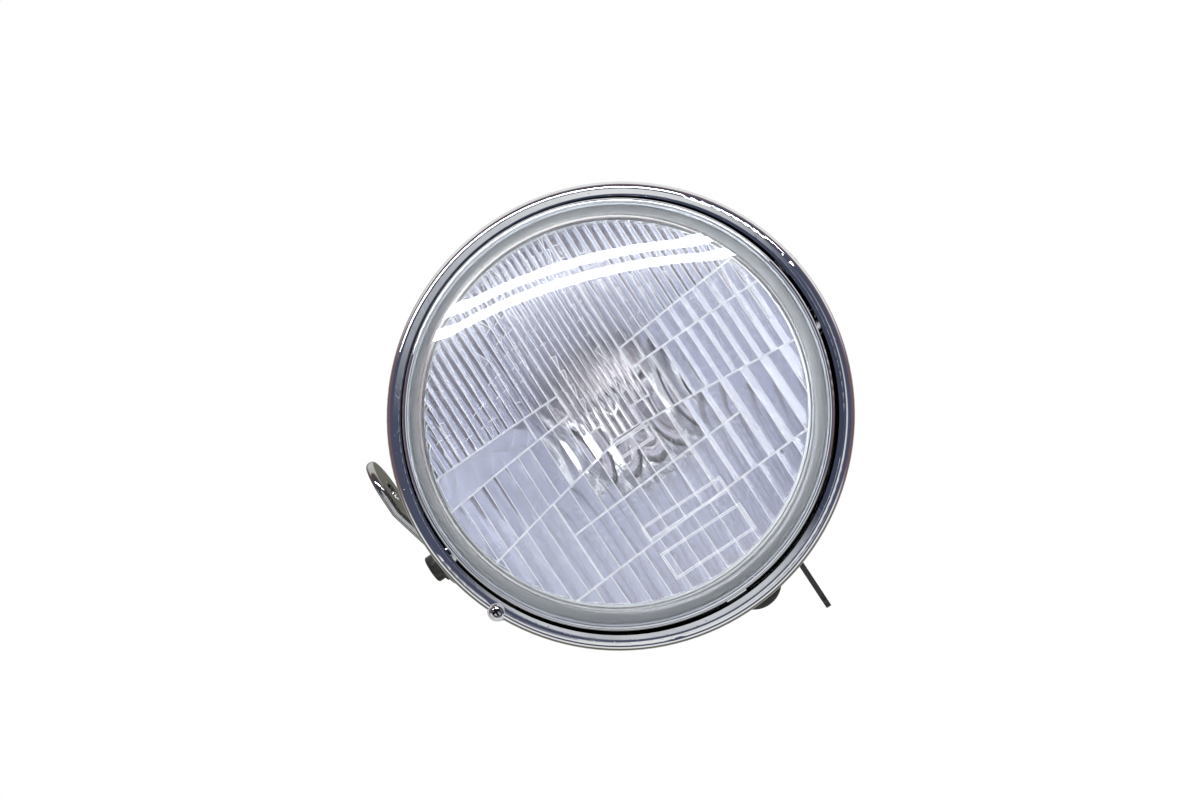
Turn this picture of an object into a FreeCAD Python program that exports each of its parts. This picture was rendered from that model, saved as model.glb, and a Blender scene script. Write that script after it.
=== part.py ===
import FreeCAD, Part
import math
import os

V = FreeCAD.Vector

# The lens faces -Y, +X is the right-hand side seen from the front, +Z is up.
# The origin is the middle of the wire inlet in the back of the shell.
# Depths called "ahead" are measured forward from the mouth of the shell.

# sheet metal and fits
sheet = 0.9
contact = 0.02
slip = 0.25
clear = 0.35

# lens: the rings outside it take their sizes from the edge of the glass
glass_r = 84.6
glass_t = 4.0
flange_t = 5.0
skirt_draft = 0.8
border_w = 5.5
border_h = 10.2
border_bulge = 1.6
dome_r = 245.0
inner_edge_share = 0.75

# flutes on the inside of the lens
flute_margin = 2.1
flute_base = 0.3
flute_root = 1.2
flute_bump = 0.42
block_gap = 0.45
column_half = 14.7
column_core = 5.9
column_step_z = -3.0
column_foot_z = -10.9
column_pitch = 2.94
fine_pitch = 3.7
block_pitch = 5.8
broad_pitch = 7.9
broad_bump = 0.6
left_top_z = 16.0
left_pane_x = -31.0
left_mid_z = (1.7, 6.7)
left_low_z = (-25.0, -11.2)
right_top_z = (18.2, 25.8)
right_mid_z = (8.8, 11.8)
right_low_z = (-10.9, -15.0)
panel_x = (-38.6, 40.4)
panel_z = (-32.8, -27.8)
bottom_z = (-55.5, -46.0)
raised_frames = ((-7.3, 7.4, -18.6, -12.4), (-15.4, 20.6, -50.8, -44.6), (-15.0, 21.4, -68.4, -57.0))
frame_w = 0.7
frame_h = 0.35

# ring of the lens unit
ring_gap = 0.3
ring_front = 26.2
ring_face_w = 2.8
ring_back = 5.3
ring_crimp_w = 4.3

# rim
rim_gap = 1.9
rim_face_w = 6.15
rim_crest = 20.0
rim_bead_r = 3.4
rim_lip_drop = 0.9
rim_overlap = 8.0
rim_screw_r = 2.0
rim_screw_head_r = 3.4
rim_screw_head_h = 1.8
rim_screw_angle = 10.0
rim_nut_side = 8.0
rim_nut_t = 3.0

# shell
shell_depth = 120.0
back_flat_margin = 1.35

# side bosses, a low one on the right and a tall one with the lug on the left
boss_r = 13.0
plain_boss_out = 1.2
lug_boss_out = 4.0
boss_in = 6.0
boss_fore = 5.0
boss_z = -5.5
thread_r = 3.4
lug_t = 4.0
lug_eye_r = 15.5
lug_foot_r = 11.0
lug_lean = 2.0
lug_rise = 38.0
lug_hole_r = 4.25
lug_joggle = 4.6
lug_bend_top = 27.0
lug_bend_bottom = 8.0
bolt_head_r = 7.5
bolt_head_h = 5.0
bolt_dome_share = 0.8

# black tab and its rivets
tab_x = 26.8
tab_t = 2.3
tab_fore = 11.3
tab_w = 22.0
tab_tip_r = 8.0
tab_drop = 17.8
tab_hole_r = 3.25
tab_foot_w = 25.0
rivet_r = 2.0
rivet_head_r = 3.8
rivet_head_h = 0.7
rivet_tail_share = 0.8
rivet_step = 11.0

# rubber plug and wire grommet
plug_x = 7.2
plug_fore = 9.0
plug_head_r = 8.8
plug_head_h = 3.9
plug_neck_r = 5.0
plug_lip_w = 1.6
plug_lip_h = 3.0
inlet_bore_r = 10.0
grommet_neck_t = 3.0
grommet_flange_w = 4.5
grommet_out_h = 3.5
grommet_in_h = 3.5

# pivots at top and bottom
pivot_pin_r = 2.2
pivot_run = 0.06
pivot_boss_w = 9.0
pivot_boss_h = 2.5
bracket_w = 13.0
bracket_l = 9.0

# aim adjuster
adj_angle = 205.4
adj_inset = 1.7
adj_sink = 1.4
adj_screw_r = 1.5
adj_head_r = 3.0
adj_head_h = 2.2
adj_dome_share = 1.4
adj_seat_t = 1.2
adj_tail = 0.4
adj_cross_w = 0.9
adj_cross_l = 3.6
adj_cross_h = 1.3
adj_lug_t = 2.0
adj_lug_side = 1.75
nut_wall = 0.5
nut_flange_t = 1.2
nut_flange_w = 0.3
spring_turns = 5
spring_wire = 0.6
spring_gap = 0.25
spring_sides = 12

# reflector and seal
seal_t = 0.76
seal_w = 6.6
mirror_t = 1.0
focal = 24.0
neck_r = 19.5
neck_l = 8.0
seat_w = 10.5

# bulb
bulb_flange_w = 2.0
bulb_flange_t = 2.0
bulb_cup_t = 2.1
bulb_cup_l = 9.0
bulb_glass_r = 8.5
bulb_glass_t = 1.0
bulb_tip_ahead = 56.0
bulb_plug_r = 13.0
bulb_plug_l = 13.0
blade_w = 8.0
blade_t = 0.8
blade_l = 12.0
blade_share = 0.6
filament_r = 0.8
filament_l = 5.5
post_r = 0.35
shield_gap = 2.5
shield_t = 0.6
shield_l = 12.0
clip_wire = 0.8
clip_gap = 2.7
boot_t = 2.5
boot_l = 20.0

# radii that follow, from the glass outward
ring_r = glass_r + ring_gap + sheet
rim_mouth_r = ring_r + rim_gap
rim_r = rim_mouth_r + rim_face_w
rim_in_r = rim_r - sheet
shell_r = rim_in_r - slip
shell_in_r = shell_r - sheet
boss_face = shell_r + lug_boss_out
plain_boss_face = shell_r + plain_boss_out

# radii that follow, from the glass inward
skirt_top_r = ring_r - ring_face_w - clear
skirt_r = skirt_top_r + skirt_draft
dome_edge_r = skirt_top_r - border_w
flute_area_r = dome_edge_r - flute_margin
mirror_mouth_r = glass_r - seal_w
seat_r = neck_r + seat_w
bulb_flange_r = neck_r + bulb_flange_w
bulb_cup_r = bulb_glass_r + bulb_cup_t
shield_r = bulb_glass_r - bulb_glass_t - shield_gap
clip_r = bulb_plug_r + clip_wire + clip_gap

# places along the axis
mouth_y = -shell_depth
mirror_front = ring_back + sheet + contact + mirror_t
flange_back = mirror_front + seal_t + 2 * contact
skirt_top = ring_front - ring_face_w / 2
dome_edge = skirt_top + border_h
dome_in_r = dome_r - glass_t
dome_top = dome_edge + dome_r - math.sqrt(dome_r ** 2 - dome_edge_r ** 2)
mirror_vertex = mirror_front - mirror_mouth_r ** 2 / (4 * focal)
mirror_focus = mirror_vertex + focal
bulb_seat = mirror_vertex + neck_r ** 2 / (4 * focal) - neck_l
pivot_ahead = ring_back + pivot_boss_w / 2

# rubber parts, and the bowl of the shell round the inlet
plug_lip_r = plug_neck_r + plug_lip_w
inlet_hole_r = inlet_bore_r + grommet_neck_t
grommet_r = inlet_hole_r + grommet_flange_w
bowl_r = shell_r - grommet_r - back_flat_margin

# fittings, measured forward from where the bowl turns straight
boss_y = -bowl_r - boss_fore
tab_y = -bowl_r - tab_fore
plug_y = -bowl_r - plug_fore
lug_eye_y = boss_y - lug_lean
lug_eye_z = boss_z + lug_rise
tab_eye_z = tab_tip_r - shell_r - tab_drop

# adjuster
adj_r = rim_r - adj_inset
adj_x = adj_r * math.cos(math.radians(adj_angle))
adj_z = adj_r * math.sin(math.radians(adj_angle))
adj_seat = rim_crest - adj_sink
adj_hole_r = adj_screw_r + clear
nut_neck_r = adj_hole_r + nut_wall
nut_flange_r = nut_neck_r + nut_flange_w
pocket_r = nut_flange_r + clear
adj_lug_w = 2 * (nut_neck_r + adj_lug_side)
nut_neck = ring_back - contact
nut_back = nut_neck - nut_flange_t
nut_front = nut_neck + adj_lug_t + 2 * contact + nut_flange_t
spring_r = adj_screw_r + spring_gap + spring_wire


def fwd(ahead):
    return mouth_y - ahead


dome_y = fwd(dome_top) + dome_r


def turned(*runs):
    edges = []
    for run in runs:
        pts = [V(r, y, 0) for r, y in run]
        if len(pts) == 2:
            edges.append(Part.LineSegment(pts[0], pts[1]).toShape())
        elif len(pts) == 3:
            edges.append(Part.Arc(pts[0], pts[1], pts[2]).toShape())
        else:
            curve = Part.BSplineCurve()
            curve.interpolate(pts)
            edges.append(curve.toShape())
    face = Part.Face(Part.Wire(edges))
    return face.revolve(V(0, 0, 0), V(0, 1, 0), 360)


def turned_steps(points):
    runs = []
    for k in range(len(points)):
        runs.append([points[k], points[(k + 1) % len(points)]])
    return turned(*runs)


def tube(r_out, r_in, y0, y1):
    return turned_steps([(r_in, y0), (r_out, y0), (r_out, y1), (r_in, y1)])


def rod(r, start, direction, length):
    return Part.makeCylinder(r, length, start, direction)


def along_y(r, x, z, y0, y1):
    low = min(y0, y1)
    return rod(r, V(x, low, z), V(0, 1, 0), abs(y1 - y0))


def box(x0, x1, y0, y1, z0, z1):
    low = V(min(x0, x1), min(y0, y1), min(z0, z1))
    return Part.makeBox(abs(x1 - x0), abs(y1 - y0), abs(z1 - z0), low)


def prism(points, direction):
    face = Part.Face(Part.makePolygon(points + [points[0]]))
    return face.extrude(direction)


def bowl(r, back, bend):
    flat = r - bend
    bend_y = back - bend
    diag = bend * math.sqrt(0.5)
    front = fwd(slip) if r < shell_r else mouth_y
    return turned(
        [(0, back), (flat, back)],
        [(flat, back), (flat + diag, bend_y + diag), (r, bend_y)],
        [(r, bend_y), (r, front)],
        [(r, front), (0, front)],
        [(0, front), (0, back)])


def drum(r):
    return along_y(r, 0, 0, fwd(rim_crest), mouth_y + bowl_r)


def radial(angle):
    a = math.radians(angle)
    return V(math.cos(a), 0, math.sin(a))


def tab_rivet_axes():
    middle = tab_x + tab_t + (tab_foot_w - tab_t) / 2
    angle = -math.degrees(math.acos(middle / shell_r))
    return [(angle, tab_y + side * rivet_step / 2) for side in (-1, 1)]


def rim_screw_axes():
    y = mouth_y + rim_overlap / 2
    return [(rim_screw_angle, y), (180 - rim_screw_angle, y)]


def make_shell():
    body = bowl(shell_r, 0, bowl_r).cut(bowl(shell_in_r, -sheet, bowl_r - sheet))
    for side, face in ((-1, boss_face), (1, plain_boss_face)):
        start = V(side * (shell_in_r - boss_in), boss_y, boss_z)
        length = face - shell_in_r + boss_in
        body = body.fuse(rod(boss_r, start, V(side, 0, 0), length))
    for side in (-1, 1):
        start = V(side * (shell_in_r - boss_in - slip), boss_y, boss_z)
        body = body.cut(rod(thread_r, start, V(side, 0, 0), shell_r))
    body = body.cut(along_y(inlet_hole_r, 0, 0, -bowl_r / 2, slip))
    body = body.cut(rod(plug_neck_r + contact, V(plug_x, plug_y, 0), V(0, 0, -1), rim_r))
    half = tab_w / 2 + contact
    root_z = tab_w / 2 - shell_in_r
    body = body.cut(box(tab_x - contact, tab_x + tab_t + contact, tab_y - half, tab_y + half, -rim_r, root_z))
    for angle, y in tab_rivet_axes():
        body = body.cut(rod(rivet_r + contact, V(0, y, 0), radial(angle), rim_r))
    for angle, y in rim_screw_axes():
        body = body.cut(rod(rim_screw_r + slip, V(0, y, 0), radial(angle), rim_r))
    return body.removeSplitter()


def make_rim():
    back = mouth_y + rim_overlap
    turn = fwd(rim_crest - rim_bead_r)
    crest = fwd(rim_crest)
    crest_r = rim_r - rim_bead_r
    lip = crest + rim_lip_drop
    diag = rim_bead_r * math.sqrt(0.5)
    diag_in = (rim_bead_r - sheet) * math.sqrt(0.5)
    body = turned(
        [(rim_r, back), (rim_r, turn)],
        [(rim_r, turn), (crest_r + diag, turn - diag), (crest_r, crest)],
        [(crest_r, crest), (rim_mouth_r, lip)],
        [(rim_mouth_r, lip), (rim_mouth_r, lip + sheet)],
        [(rim_mouth_r, lip + sheet), (crest_r, crest + sheet)],
        [(crest_r, crest + sheet), (crest_r + diag_in, turn - diag_in), (rim_in_r, turn)],
        [(rim_in_r, turn), (rim_in_r, back)],
        [(rim_in_r, back), (rim_r, back)])
    seat = fwd(adj_seat)
    wall = pocket_r + sheet
    core = along_y(rim_r - sheet / 2, 0, 0, back, fwd(adj_seat - adj_seat_t))
    bulge = along_y(wall, adj_x, adj_z, fwd(adj_tail), seat).cut(core)
    body = body.fuse(bulge)
    body = body.cut(along_y(adj_head_r + clear, adj_x, adj_z, seat, fwd(rim_crest + rim_bead_r)))
    body = body.cut(along_y(pocket_r, adj_x, adj_z, fwd(adj_tail), fwd(adj_seat - adj_seat_t)))
    body = body.cut(along_y(adj_hole_r, adj_x, adj_z, fwd(adj_tail), seat - sheet))
    for angle, y in rim_screw_axes():
        body = body.cut(rod(rim_screw_r + slip, V(0, y, 0), radial(angle), rim_r + sheet))
    return body.removeSplitter()


def make_rim_screws():
    screws = []
    for angle, y in rim_screw_axes():
        out = radial(angle)
        foot = out * (shell_in_r - rim_nut_t - slip) + V(0, y, 0)
        shank = rod(rim_screw_r, foot, out, rim_r - shell_in_r + rim_nut_t + 2 * slip)
        head = rod(rim_screw_head_r, out * rim_in_r + V(0, y, 0), out, sheet + rim_screw_head_h)
        head = head.cut(drum(rim_r + contact))
        slot = box(-sheet / 2, sheet / 2, -rim_screw_head_r, rim_screw_head_r, 0, sheet)
        slot.rotate(V(0, 0, 0), V(0, 1, 0), 90 - angle)
        slot.translate(out * (rim_r + rim_screw_head_h - sheet / 2) + V(0, y, 0))
        screws.append(shank.fuse(head).cut(slot).removeSplitter())
    return Part.makeCompound(screws)


def make_rim_nuts():
    nuts = []
    half = rim_nut_side / 2
    for angle, y in rim_screw_axes():
        nut = box(-half, half, y - half, y + half, shell_in_r - rim_nut_t, shell_in_r)
        nut.rotate(V(0, 0, 0), V(0, 1, 0), 90 - angle)
        nut = nut.common(drum(shell_in_r - contact))
        nuts.append(nut.cut(rod(rim_screw_r + contact, V(0, y, 0), radial(angle), rim_r)))
    return Part.makeCompound(nuts)


def hull_outline(y0, z0, r0, y1, z1, r1, x):
    reach = math.hypot(y1 - y0, z1 - z0)
    lean = math.atan2(z1 - z0, y1 - y0)
    spread = math.acos((r0 - r1) / reach)
    edges = []
    ends = []
    for sign in (1, -1):
        a = lean + sign * spread
        ends.append((V(x, y0 + r0 * math.cos(a), z0 + r0 * math.sin(a)),
                     V(x, y1 + r1 * math.cos(a), z1 + r1 * math.sin(a))))
    far0 = V(x, y0 - r0 * math.cos(lean), z0 - r0 * math.sin(lean))
    far1 = V(x, y1 + r1 * math.cos(lean), z1 + r1 * math.sin(lean))
    edges.append(Part.LineSegment(ends[0][0], ends[0][1]).toShape())
    edges.append(Part.Arc(ends[0][1], far1, ends[1][1]).toShape())
    edges.append(Part.LineSegment(ends[1][1], ends[1][0]).toShape())
    edges.append(Part.Arc(ends[1][0], far0, ends[0][0]).toShape())
    return Part.Face(Part.Wire(edges))


def make_side_lug():
    low = -(boss_face + contact)
    high = low - lug_joggle
    top = lug_eye_z + lug_eye_r
    bottom = boss_z - lug_foot_r
    y0 = lug_eye_y - lug_eye_r
    side = [V(low, y0, bottom), V(low, y0, boss_z + lug_bend_bottom),
            V(high, y0, boss_z + lug_bend_top), V(high, y0, top)]
    back = [V(p.x - lug_t, p.y, p.z) for p in reversed(side)]
    strip = prism(side + back, V(0, 2 * lug_eye_r, 0))
    outline = hull_outline(boss_y, boss_z, lug_foot_r, lug_eye_y, lug_eye_z, lug_eye_r, low)
    blank = outline.extrude(V(-(lug_joggle + lug_t), 0, 0))
    lug = strip.common(blank)
    start = V(0, lug_eye_y, lug_eye_z)
    lug = lug.cut(rod(lug_hole_r, start, V(-1, 0, 0), 2 * rim_r))
    return lug.cut(rod(lug_hole_r, V(0, boss_y, boss_z), V(-1, 0, 0), 2 * rim_r))


def make_lug_bolt():
    seat = -(boss_face + lug_t + 2 * contact)
    out = V(-1, 0, 0)
    flange = rod(bolt_head_r, V(seat, boss_y, boss_z), out, bolt_head_h / 4)
    dome = Part.makeSphere(bolt_head_r, V(seat, boss_y, boss_z))
    dome = dome.common(rod(bolt_head_r * bolt_dome_share, V(seat, boss_y, boss_z), out, bolt_head_h))
    neck = rod(lug_hole_r - slip, V(seat + lug_t, boss_y, boss_z), out, lug_t)
    end = -(shell_in_r - boss_in)
    core = rod(thread_r - contact, V(end, boss_y, boss_z), out, end - seat)
    return flange.fuse(dome).fuse(neck).fuse(core).removeSplitter()


def make_aim_tab():
    seat = shell_in_r - contact
    y0 = tab_y - tab_w / 2
    y1 = tab_y + tab_w / 2
    curve = along_y(seat, 0, 0, y0, y1).cut(along_y(seat - tab_t, 0, 0, y0, y1))
    foot = curve.common(box(tab_x, tab_x + tab_foot_w, y0, y1, -rim_r, 0))
    root_z = tab_w / 2 - shell_in_r
    face = hull_outline(tab_y, root_z, tab_w / 2, tab_y, tab_eye_z, tab_tip_r, tab_x)
    blade = face.extrude(V(tab_t, 0, 0)).cut(along_y(seat - tab_t, 0, 0, y0 - slip, y1 + slip))
    body = foot.fuse(blade)
    body = body.cut(rod(tab_hole_r, V(tab_x - tab_t, tab_y, tab_eye_z), V(1, 0, 0), tab_foot_w))
    for angle, y in tab_rivet_axes():
        body = body.cut(rod(rivet_r + contact, V(0, y, 0), radial(angle), 2 * rim_r))
    return body.removeSplitter()


def make_tab_rivets():
    rivets = []
    inner = shell_in_r - tab_t - 2 * contact
    for angle, y in tab_rivet_axes():
        out = radial(angle)
        at = V(0, y, 0)
        head = rod(rivet_head_r, out * shell_in_r + at, out, sheet + rivet_head_h).cut(drum(shell_r + contact))
        tail = rod(rivet_head_r * rivet_tail_share, out * (inner - rivet_head_h) + at, out, rivet_head_h + sheet)
        tail = tail.common(drum(inner))
        shank = rod(rivet_r, out * (inner - rivet_head_h) + at, out, shell_r - inner + 2 * rivet_head_h)
        rivets.append(head.fuse(tail).fuse(shank).removeSplitter())
    return Part.makeCompound(rivets)


def make_drain_plug():
    down = V(0, 0, -1)
    wall = math.sqrt(shell_r ** 2 - plug_x ** 2)
    low = wall + plug_head_h
    cap_r = (plug_head_r ** 2 + plug_head_h ** 2) / (2 * plug_head_h)
    ball = Part.makeSphere(cap_r, V(plug_x, plug_y, cap_r - low))
    head = ball.common(rod(plug_head_r, V(plug_x, plug_y, -wall + plug_head_h), down, 3 * plug_head_h))
    head = head.cut(drum(shell_r + contact))
    lip = rod(plug_lip_r, V(plug_x, plug_y, -(shell_in_r - plug_lip_h)), down, 2 * plug_lip_h)
    lip = lip.common(drum(shell_in_r - contact))
    neck = rod(plug_neck_r, V(plug_x, plug_y, -(shell_in_r - plug_lip_h)), down, plug_lip_h + 2 * sheet)
    return head.fuse(lip).fuse(neck).removeSplitter()


def make_wire_grommet():
    out = contact
    inside = -sheet - contact
    neck = inlet_hole_r - contact
    lead = grommet_out_h / 3
    return turned_steps([
        (inlet_bore_r, inside - grommet_in_h),
        (neck + lead, inside - grommet_in_h),
        (neck + 3 * lead, inside),
        (neck, inside),
        (neck, out),
        (grommet_r, out),
        (grommet_r, out + grommet_out_h - lead),
        (grommet_r - lead, out + grommet_out_h),
        (inlet_bore_r, out + grommet_out_h)])


def make_unit_ring():
    half = ring_face_w / 2
    bead = fwd(ring_front - half)
    mid_r = ring_r - half
    in_half = half - sheet
    back = fwd(ring_back)
    crimp_r = ring_r - ring_crimp_w
    body = turned(
        [(ring_r, back), (ring_r, bead)],
        [(ring_r, bead), (mid_r, bead - half), (mid_r - half, bead)],
        [(mid_r - half, bead), (mid_r - in_half, bead)],
        [(mid_r - in_half, bead), (mid_r, bead - in_half), (mid_r + in_half, bead)],
        [(mid_r + in_half, bead), (ring_r - sheet, back - sheet)],
        [(ring_r - sheet, back - sheet), (crimp_r, back - sheet)],
        [(crimp_r, back - sheet), (crimp_r, back)],
        [(crimp_r, back), (ring_r, back)])
    solid_core = along_y(ring_r - sheet / 2, 0, 0, back, bead)
    top = ring_r + pivot_boss_h
    w = pivot_boss_w / 2
    for side in (-1, 1):
        pad = box(-w, w, fwd(pivot_ahead + w), fwd(pivot_ahead - w), 0, side * top).cut(solid_core)
        hole = rod(pivot_pin_r + contact, V(0, fwd(pivot_ahead), side * ring_r), V(0, 0, side), top)
        body = body.fuse(pad).cut(hole)
    lug = box(0, adj_r, fwd(nut_neck + contact), fwd(nut_neck + contact + adj_lug_t), -adj_lug_w / 2, adj_lug_w / 2)
    slot_r = nut_neck_r + contact
    slot = box(adj_r, adj_r + slot_r, fwd(0), fwd(rim_crest), -slot_r, slot_r)
    slot = slot.fuse(along_y(slot_r, adj_r, 0, fwd(0), fwd(rim_crest)))
    lug = lug.cut(slot)
    lug.rotate(V(0, 0, 0), V(0, 1, 0), -adj_angle)
    return body.fuse(lug.cut(solid_core)).removeSplitter()


def make_pivot_pins():
    pins = []
    foot = ring_r + contact
    for side in (-1, 1):
        start = V(0, fwd(pivot_ahead), side * foot)
        pins.append(rod(pivot_pin_r, start, V(0, 0, side), rim_in_r - foot - slip))
    return Part.makeCompound(pins)


def make_pivot_brackets():
    parts = []
    base = ring_r + pivot_boss_h + clear
    half_l = bracket_l / 2
    for side in (-1, 1):
        block = box(-bracket_w / 2, bracket_w / 2, fwd(pivot_ahead + half_l), fwd(pivot_ahead - half_l),
                    side * base, side * rim_r)
        block = block.common(drum(rim_in_r - contact))
        start = V(0, fwd(pivot_ahead), 0)
        parts.append(block.cut(rod(pivot_pin_r + pivot_run, start, V(0, 0, side), rim_r)))
    return Part.makeCompound(parts)


def make_adjuster_screw():
    seat = adj_seat + pivot_run
    shank = along_y(adj_screw_r, adj_x, adj_z, fwd(adj_tail + contact), fwd(seat + adj_head_h / 2))
    head = along_y(adj_head_r, adj_x, adj_z, fwd(seat), fwd(seat + adj_head_h))
    ball_r = adj_head_r * adj_dome_share
    ball = Part.makeSphere(ball_r, V(adj_x, fwd(seat + adj_head_h) + ball_r, adj_z))
    screw = shank.fuse(head.common(ball))
    deep = fwd(seat + adj_head_h - adj_cross_h)
    w = adj_cross_w / 2
    l = adj_cross_l / 2
    tip = fwd(seat + 2 * adj_head_h)
    screw = screw.cut(box(adj_x - w, adj_x + w, deep, tip, adj_z - l, adj_z + l))
    screw = screw.cut(box(adj_x - l, adj_x + l, deep, tip, adj_z - w, adj_z + w))
    return screw.removeSplitter()


def make_adjuster_nut():
    groove = adj_lug_t + 2 * contact
    back = along_y(nut_flange_r, adj_x, adj_z, fwd(nut_back), fwd(nut_neck))
    neck = along_y(nut_neck_r, adj_x, adj_z, fwd(nut_back), fwd(nut_front))
    front = along_y(nut_flange_r, adj_x, adj_z, fwd(nut_neck + groove), fwd(nut_front))
    hole = along_y(adj_hole_r, adj_x, adj_z, fwd(nut_back - clear), fwd(nut_front + clear))
    return back.fuse(neck).fuse(front).cut(hole).removeSplitter()


def make_adjuster_spring():
    low = nut_front + contact + spring_wire / 2
    high = adj_seat - adj_seat_t - contact - spring_wire / 2
    count = spring_turns * spring_sides
    half = spring_wire / 2
    wires = []
    for k in range(count + 1):
        a = 2 * math.pi * k / spring_sides
        y = fwd(low + (high - low) * k / count)
        out = V(math.cos(a), 0, math.sin(a))
        mid = V(adj_x, y, adj_z) + out * (spring_r - half)
        rise = V(0, half, 0)
        pts = [mid - out * half - rise, mid + out * half - rise, mid + out * half + rise, mid - out * half + rise]
        wires.append(Part.makePolygon(pts + [pts[0]]))
    return Part.makeLoft(wires, True, True)


def lens_blank():
    back = fwd(flange_back)
    front = fwd(flange_back + flange_t)
    mid_r = (skirt_top_r + dome_edge_r) / 2
    mid_d = (skirt_top + dome_edge) / 2
    run = math.hypot(skirt_top_r - dome_edge_r, dome_edge - skirt_top)
    lean_r = (dome_edge - skirt_top) / run
    lean_d = (skirt_top_r - dome_edge_r) / run
    out_mid = (mid_r + border_bulge * lean_r, fwd(mid_d + border_bulge * lean_d))
    in_mid = (out_mid[0] - glass_t * lean_r, out_mid[1] + glass_t * lean_d)
    top = fwd(dome_top)
    half_r = dome_edge_r / 2
    dome_mid = (half_r, dome_y - math.sqrt(dome_r ** 2 - half_r ** 2))
    in_edge_r = dome_edge_r - glass_t * inner_edge_share
    in_edge = (in_edge_r, dome_y - math.sqrt(dome_in_r ** 2 - in_edge_r ** 2))
    in_half_r = in_edge_r / 2
    in_dome_mid = (in_half_r, dome_y - math.sqrt(dome_in_r ** 2 - in_half_r ** 2))
    in_skirt = (skirt_top_r - glass_t, fwd(skirt_top))
    in_foot = (skirt_r - glass_t, back)
    neck_y = front + (skirt_r - glass_r) / 2
    return turned(
        [in_foot, (glass_r, back)],
        [(glass_r, back), (glass_r, front)],
        [(glass_r, front), (skirt_r, neck_y)],
        [(skirt_r, neck_y), (skirt_top_r, fwd(skirt_top))],
        [(skirt_top_r, fwd(skirt_top)), out_mid, (dome_edge_r, fwd(dome_edge))],
        [(dome_edge_r, fwd(dome_edge)), dome_mid, (0, top)],
        [(0, top), (0, top + glass_t)],
        [(0, top + glass_t), in_dome_mid, in_edge],
        [in_edge, in_mid, in_skirt],
        [in_skirt, in_foot])


def flute_sheet(x0, x1, count, bump):
    valley = dome_in_r - flute_base
    root = dome_in_r + flute_root

    def at(x, r, drop):
        return V(x, dome_y - math.sqrt(r ** 2 - x ** 2) + drop, 0)

    step = (x1 - x0) / count
    edges = []
    for k in range(count):
        a = x0 + k * step
        b = a + step
        edges.append(Part.Arc(at(a, valley, 0), at((a + b) / 2, valley, bump), at(b, valley, 0)).toShape())
    edges.append(Part.LineSegment(at(x1, valley, 0), at(x1, root, 0)).toShape())
    edges.append(Part.Arc(at(x1, root, 0), at((x0 + x1) / 2, root, 0), at(x0, root, 0)).toShape())
    edges.append(Part.LineSegment(at(x0, root, 0), at(x0, valley, 0)).toShape())
    face = Part.Face(Part.Wire(edges))
    centre = V(0, dome_y, 0)
    swing = math.degrees(math.asin(flute_area_r / valley)) + 1
    face.rotate(centre, V(1, 0, 0), -swing)
    return face.revolve(centre, V(1, 0, 0), 2 * swing)


def flute_block(corners, pitch, bump, disc):
    xs = [x for x, z in corners]
    count = max(1, round((max(xs) - min(xs)) / pitch))
    over = (max(xs) - min(xs)) / count
    sheet_body = flute_sheet(min(xs), max(xs), count, bump)
    near = fwd(dome_top)
    cut = prism([V(x, near, z) for x, z in corners], V(0, dome_top - skirt_top + glass_t + over, 0))
    return sheet_body.common(cut).common(disc)


def slope(line, x, x0, x1):
    return line[0] + (line[1] - line[0]) * (x - x0) / (x1 - x0)


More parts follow.
